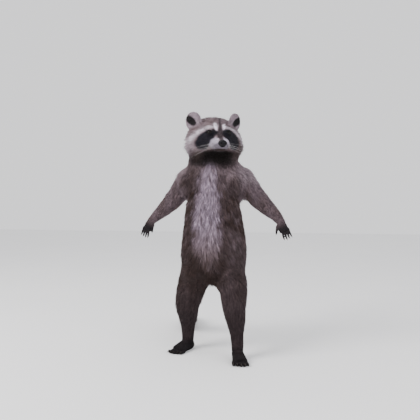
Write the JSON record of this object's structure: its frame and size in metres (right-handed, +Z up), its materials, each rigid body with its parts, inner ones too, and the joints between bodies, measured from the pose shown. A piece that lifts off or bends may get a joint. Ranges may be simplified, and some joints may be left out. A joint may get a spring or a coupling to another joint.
{
  "type": "raccoon",
  "caption": "Raccoon standing upright on its hind feet with its arms held out, head turned to its left and its ringed tail resting on the floor behind.",
  "frame": {"origin": "on the floor, under the middle of the whole animal's box", "axes": "+Z up, the animal faces -Y, and its own left side is at +X"},
  "size_m": [0.3874, 0.4207, 0.5844],
  "materials": {
    "grey_brown_coat": "matt grizzled fur",
    "pale_belly_coat": "matt pale grey fur",
    "dark_leg_coat": "matt dark brown fur and skin",
    "masked_face_coat": "matt short fur with a black mask",
    "ringed_tail_coat": "matt fur with dark rings",
    "nose_leather": "moist black skin",
    "eye_gloss": "wet and glossy, near black",
    "claw_horn": "satin dark horn"
  },
  "bodies": {
    "root": {"head": "masked_face_coat", "muzzle": "masked_face_coat", "jaw": "masked_face_coat", "nose": "nose_leather", "ear_left": "masked_face_coat", "eye_left": "eye_gloss", "ear_right": "masked_face_coat", "eye_right": "eye_gloss", "chest": "pale_belly_coat", "belly": "pale_belly_coat", "neck": "grey_brown_coat", "upper_arm_left": "grey_brown_coat", "forearm_left": "grey_brown_coat", "hand_left": "dark_leg_coat", "thigh_left": "dark_leg_coat", "shin_left": "dark_leg_coat", "foot_left": "dark_leg_coat", "claw_hand_left_1": "claw_horn", "claw_hand_left_2": "claw_horn", "claw_hand_left_3": "claw_horn", "claw_hand_left_4": "claw_horn", "claw_hand_left_5": "claw_horn", "claw_foot_left_1": "claw_horn", "claw_foot_left_2": "claw_horn", "claw_foot_left_3": "claw_horn", "claw_foot_left_4": "claw_horn", "claw_foot_left_5": "claw_horn", "upper_arm_right": "grey_brown_coat", "forearm_right": "grey_brown_coat", "hand_right": "dark_leg_coat", "thigh_right": "dark_leg_coat", "shin_right": "dark_leg_coat", "foot_right": "dark_leg_coat", "claw_hand_right_1": "claw_horn", "claw_hand_right_2": "claw_horn", "claw_hand_right_3": "claw_horn", "claw_hand_right_4": "claw_horn", "claw_hand_right_5": "claw_horn", "claw_foot_right_1": "claw_horn", "claw_foot_right_2": "claw_horn", "claw_foot_right_3": "claw_horn", "claw_foot_right_4": "claw_horn", "claw_foot_right_5": "claw_horn", "tail_root": "ringed_tail_coat", "tail_middle": "ringed_tail_coat", "tail_tip": "ringed_tail_coat"}
  },
  "joints": []
}
